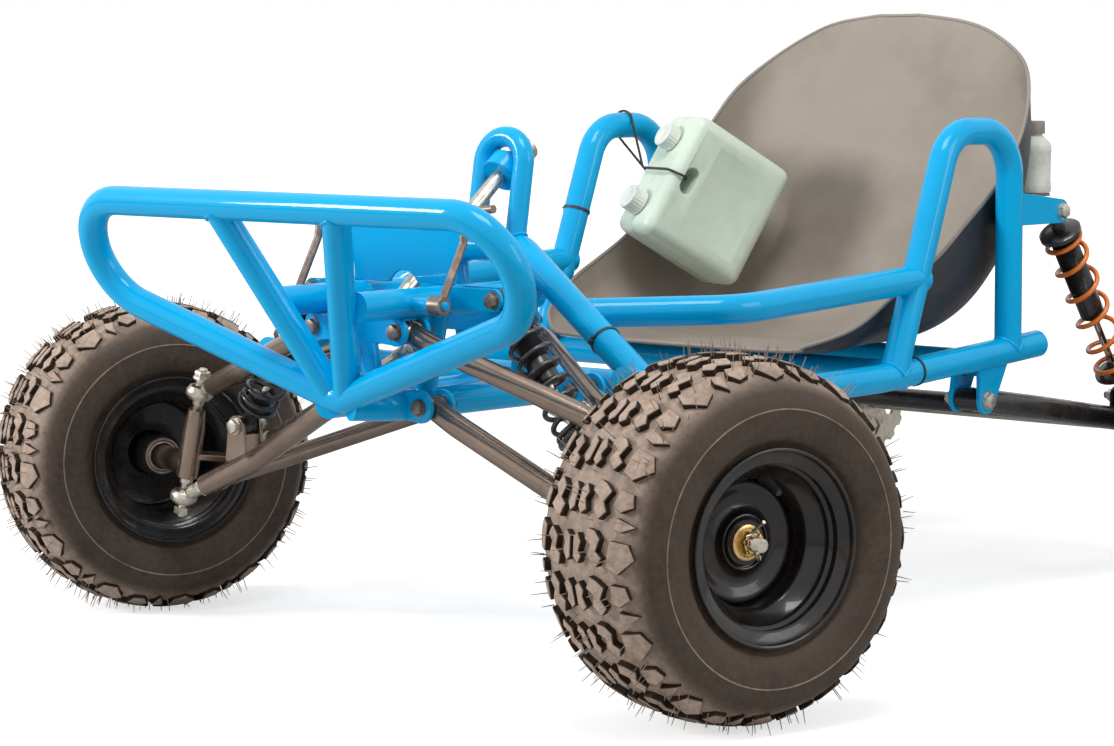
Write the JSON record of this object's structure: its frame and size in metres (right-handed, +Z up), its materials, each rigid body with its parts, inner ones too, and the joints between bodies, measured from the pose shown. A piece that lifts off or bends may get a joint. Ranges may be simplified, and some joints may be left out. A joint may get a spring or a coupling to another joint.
{
  "type": "racing kart",
  "caption": "Off-road kart chassis: welded tube frame, bucket seat, double-wishbone front suspension with coil-over shock absorbers, rear swing arm and knobby tyres",
  "frame": {"origin": "the middle of the kart's footprint, on the ground", "axes": "+X to the driver's left, +Y to the rear, +Z up"},
  "size_m": [1.3614, 1.6444, 0.7807],
  "materials": {
    "blue": "gloss bright blue paint",
    "black": "gloss black paint",
    "dark_steel": "dark oily bare steel",
    "zinc": "zinc plated steel",
    "chrome": "polished",
    "yellow_zinc": "yellow zinc plate",
    "seat": "bare sheet, dull and dusty",
    "tyre": "dusty black-brown rubber",
    "black_spring": "satin black",
    "orange_spring": "gloss orange",
    "black_plastic": "black cord",
    "can": "translucent greenish white",
    "cap": "off-white"
  },
  "bodies": {
    "chassis": {"front_bumper": "blue", "front_frame": "blue", "front_plate": "blue", "front_arch": "blue", "steering_hoop": "blue", "left_side_frame": "blue", "right_side_frame": "blue", "front_cross_tube": "blue", "seat_cross_tube": "blue", "rear_cross_frame": "blue", "seat_shell": "seat", "can_body": "can", "can_tie": "black_plastic", "breather_bottle": "cap"},
    "can_cap_body": {"can_cap": "cap"},
    "spout_cap_body": {"can_spout_cap": "cap"},
    "breather_cap_body": {"breather_cap": "dark_steel"},
    "column": {"steering_column": "zinc"},
    "centre_link": {"steering_centre_link": "zinc"},
    "swing_arm_body": {"swing_arm": "black"},
    "rear_axle_body": {"rear_axle": "zinc", "left_rear_rim": "black", "left_rear_tyre": "tyre", "right_rear_rim": "black", "right_rear_tyre": "tyre", "axle_sprocket": "zinc", "brake_disc": "zinc"},
    "brake_pedal_body": {"brake_pedal": "chrome"},
    "throttle_pedal_body": {"throttle_pedal": "chrome"},
    "left_lower_wishbone": {"left_lower_arm": "dark_steel"},
    "left_upper_wishbone": {"left_upper_arm": "dark_steel"},
    "left_carrier": {"left_kingpin": "zinc"},
    "left_knuckle": {"left_upright": "dark_steel", "left_hub_nut": "yellow_zinc"},
    "left_wheel": {"left_front_rim": "black", "left_front_tyre": "tyre"},
    "left_stud": {"left_tie_rod_stud": "zinc"},
    "left_track_rod": {"left_tie_rod": "zinc"},
    "left_damper": {"left_front_shock_body": "black", "left_front_shock_spring": "black_spring"},
    "left_damper_rod": {"left_front_shock_rod": "chrome"},
    "left_rear_damper": {"left_rear_shock_body": "black", "left_rear_shock_spring": "orange_spring"},
    "left_rear_damper_rod": {"left_rear_shock_rod": "chrome"},
    "right_lower_wishbone": {"right_lower_arm": "dark_steel"},
    "right_upper_wishbone": {"right_upper_arm": "dark_steel"},
    "right_carrier": {"right_kingpin": "zinc"},
    "right_knuckle": {"right_upright": "dark_steel", "right_hub_nut": "yellow_zinc"},
    "right_wheel": {"right_front_rim": "black", "right_front_tyre": "tyre"},
    "right_stud": {"right_tie_rod_stud": "zinc"},
    "right_track_rod": {"right_tie_rod": "zinc"},
    "right_damper": {"right_front_shock_body": "black", "right_front_shock_spring": "black_spring"},
    "right_damper_rod": {"right_front_shock_rod": "chrome"},
    "right_rear_damper": {"right_rear_shock_body": "black", "right_rear_shock_spring": "orange_spring"},
    "right_rear_damper_rod": {"right_rear_shock_rod": "chrome"}
  },
  "joints": [
    {"name": "left_travel", "type": "hinge", "parent": "chassis", "child": "left_lower_wishbone", "pos_m": [0.08249, -0.59946, 0.31331], "axis": [0, -1, 0], "range_deg": [0, 10], "stiffness_Nm_per_rad": 320, "springref_deg": -17.19},
    {"name": "left_carrier_tilt", "type": "hinge", "parent": "left_lower_wishbone", "child": "left_carrier", "pos_m": [0.40749, -0.57946, 0.16131], "axis": [0, -1, 0], "range_deg": [-7.12, 0]},
    {"name": "left_steer", "type": "hinge", "parent": "left_carrier", "child": "left_knuckle", "pos_m": [0.40749, -0.57946, 0.16131], "axis": [-0.2409, 0, 0.9706], "range_deg": [0, 37.2]},
    {"name": "left_front_wheel_spin", "type": "hinge", "parent": "left_knuckle", "child": "left_wheel", "pos_m": [0.54655, -0.61403, 0.20333], "axis": [0.9744, -0.2249, -0.0064], "continuous": true},
    {"name": "left_stud_turn", "type": "hinge", "parent": "left_knuckle", "child": "left_stud", "pos_m": [0.38693, -0.50053, 0.23743], "axis": [-0.2395, -0.0523, 0.9695], "range_deg": [-39.79, 0]},
    {"name": "left_tie_rod_tilt", "type": "hinge", "parent": "left_stud", "child": "left_track_rod", "pos_m": [0.38693, -0.50053, 0.23743], "axis": [0, -1, 0], "range_deg": [0, 6.96]},
    {"name": "left_upper_travel", "type": "hinge", "parent": "chassis", "child": "left_upper_wishbone", "pos_m": [0.07749, -0.53896, 0.40431], "axis": [0, -1, 0], "range_deg": [0, 10.72]},
    {"name": "left_damper_swing", "type": "hinge", "parent": "chassis", "child": "left_damper", "pos_m": [0.16249, -0.56146, 0.44131], "axis": [0, -1, 0], "range_deg": [0, 8.14]},
    {"name": "left_damper_stroke", "type": "slide", "parent": "left_damper", "child": "left_damper_rod", "axis": [-0.6231, 0, 0.7821], "range_m": [0, 0.0253], "deforming": ["left_front_shock_spring"]},
    {"name": "left_rear_damper_swing", "type": "hinge", "parent": "chassis", "child": "left_rear_damper", "pos_m": [0.30749, 0.35054, 0.51631], "axis": [1, 0, 0], "range_deg": [0, 6.69]},
    {"name": "left_rear_damper_stroke", "type": "slide", "parent": "left_rear_damper", "child": "left_rear_damper_rod", "axis": [0, -0.5724, 0.82], "range_m": [0, 0.04673], "deforming": ["left_rear_shock_spring"]},
    {"name": "right_travel", "type": "hinge", "parent": "chassis", "child": "right_lower_wishbone", "pos_m": [-0.06751, -0.59946, 0.31331], "axis": [0, 1, 0], "range_deg": [0, 10], "stiffness_Nm_per_rad": 320, "springref_deg": -17.19},
    {"name": "right_carrier_tilt", "type": "hinge", "parent": "right_lower_wishbone", "child": "right_carrier", "pos_m": [-0.39251, -0.57946, 0.16131], "axis": [0, 1, 0], "range_deg": [-7.12, 0]},
    {"name": "right_steer", "type": "hinge", "parent": "right_carrier", "child": "right_knuckle", "pos_m": [-0.39251, -0.57946, 0.16131], "axis": [0.2409, 0, 0.9706], "range_deg": [0, 37.22]},
    {"name": "right_front_wheel_spin", "type": "hinge", "parent": "right_knuckle", "child": "right_wheel", "pos_m": [-0.5232, -0.51927, 0.20125], "axis": [-0.9199, 0.3917, -0.0199], "continuous": true},
    {"name": "right_stud_turn", "type": "hinge", "parent": "right_knuckle", "child": "right_stud", "pos_m": [-0.32595, -0.51757, 0.22601], "axis": [0.209, -0.041, 0.9771], "range_deg": [-40.68, 0]},
    {"name": "right_tie_rod_tilt", "type": "hinge", "parent": "right_stud", "child": "right_track_rod", "pos_m": [-0.32595, -0.51757, 0.22601], "axis": [0, 1, 0], "range_deg": [0, 6.61]},
    {"name": "right_upper_travel", "type": "hinge", "parent": "chassis", "child": "right_upper_wishbone", "pos_m": [-0.06251, -0.53896, 0.40431], "axis": [0, 1, 0], "range_deg": [0, 10.72]},
    {"name": "right_damper_swing", "type": "hinge", "parent": "chassis", "child": "right_damper", "pos_m": [-0.14751, -0.56146, 0.44131], "axis": [0, 1, 0], "range_deg": [0, 8.14]},
    {"name": "right_damper_stroke", "type": "slide", "parent": "right_damper", "child": "right_damper_rod", "axis": [0.6231, 0, 0.7821], "range_m": [0, 0.0253], "deforming": ["right_front_shock_spring"]},
    {"name": "right_rear_damper_swing", "type": "hinge", "parent": "chassis", "child": "right_rear_damper", "pos_m": [-0.29251, 0.35054, 0.51631], "axis": [1, 0, 0], "range_deg": [0, 6.69]},
    {"name": "right_rear_damper_stroke", "type": "slide", "parent": "right_rear_damper", "child": "right_rear_damper_rod", "axis": [0, -0.5724, 0.82], "range_m": [0, 0.04673], "deforming": ["right_rear_shock_spring"]},
    {"name": "column_turn", "type": "hinge", "parent": "chassis", "child": "column", "pos_m": [0.00749, -0.39646, 0.58531], "axis": [0, 0.7748, 0.6323], "range_deg": [0, 36.62]},
    {"name": "centre_link_turn", "type": "hinge", "parent": "column", "child": "centre_link", "pos_m": [0.02947, -0.55556, 0.36969], "axis": [0, 0.7748, 0.6323], "range_deg": [-36.62, 0]},
    {"name": "rear_travel", "type": "hinge", "parent": "chassis", "child": "swing_arm_body", "pos_m": [0.00749, 0.20054, 0.27231], "axis": [1, 0, 0], "range_deg": [0, 10], "stiffness_Nm_per_rad": 1500, "springref_deg": -14.32},
    {"name": "rear_axle_spin", "type": "hinge", "parent": "swing_arm_body", "child": "rear_axle_body", "pos_m": [0.00749, 0.62054, 0.20431], "axis": [1, 0, 0], "continuous": true},
    {"name": "brake_press", "type": "hinge", "parent": "chassis", "child": "brake_pedal_body", "pos_m": [-0.11651, -0.63746, 0.43731], "axis": [1, 0, 0], "range_deg": [0, 12], "stiffness_Nm_per_rad": 2, "springref_deg": -8.59},
    {"name": "throttle_press", "type": "hinge", "parent": "chassis", "child": "throttle_pedal_body", "pos_m": [0.13149, -0.63746, 0.43731], "axis": [1, 0, 0], "range_deg": [0, 12], "stiffness_Nm_per_rad": 2, "springref_deg": -8.59},
    {"name": "can_cap_turn", "type": "hinge", "parent": "chassis", "child": "can_cap_body", "pos_m": [-0.19585, 0.15489, 0.60778], "axis": [-0.2932, -0.8055, 0.515], "continuous": true},
    {"name": "spout_cap_turn", "type": "hinge", "parent": "chassis", "child": "spout_cap_body", "pos_m": [-0.21382, 0.10552, 0.52035], "axis": [-0.2932, -0.8055, 0.515], "continuous": true},
    {"name": "breather_cap_turn", "type": "hinge", "parent": "chassis", "child": "breather_cap_body", "pos_m": [0.21249, 0.44254, 0.53431], "axis": [0, 0, 1], "continuous": true}
  ],
  "couplings": [
    {"joint": "left_carrier_tilt", "follows": "left_travel", "ratio": -0.7099},
    {"joint": "left_stud_turn", "follows": "left_steer", "ratio": -1.069},
    {"joint": "left_tie_rod_tilt", "follows": "left_travel", "ratio": 0.69423},
    {"joint": "left_upper_travel", "follows": "left_travel", "ratio": 1.0698},
    {"joint": "left_damper_swing", "follows": "left_travel", "ratio": 0.81228},
    {"joint": "left_damper_stroke", "follows": "left_travel", "m_per_rad": 0.14489},
    {"joint": "left_rear_damper_swing", "follows": "rear_travel", "ratio": 0.6668},
    {"joint": "left_rear_damper_stroke", "follows": "rear_travel", "m_per_rad": 0.26767},
    {"joint": "right_carrier_tilt", "follows": "right_travel", "ratio": -0.7099},
    {"joint": "right_steer", "follows": "left_steer", "ratio": 1},
    {"joint": "right_stud_turn", "follows": "left_steer", "ratio": -1.093},
    {"joint": "right_tie_rod_tilt", "follows": "right_travel", "ratio": 0.65876},
    {"joint": "right_upper_travel", "follows": "right_travel", "ratio": 1.0698},
    {"joint": "right_damper_swing", "follows": "right_travel", "ratio": 0.81228},
    {"joint": "right_damper_stroke", "follows": "right_travel", "m_per_rad": 0.14489},
    {"joint": "right_rear_damper_swing", "follows": "rear_travel", "ratio": 0.6668},
    {"joint": "right_rear_damper_stroke", "follows": "rear_travel", "m_per_rad": 0.26767},
    {"joint": "column_turn", "follows": "left_steer", "ratio": 0.98387},
    {"joint": "centre_link_turn", "follows": "left_steer", "ratio": -0.98387}
  ]
}
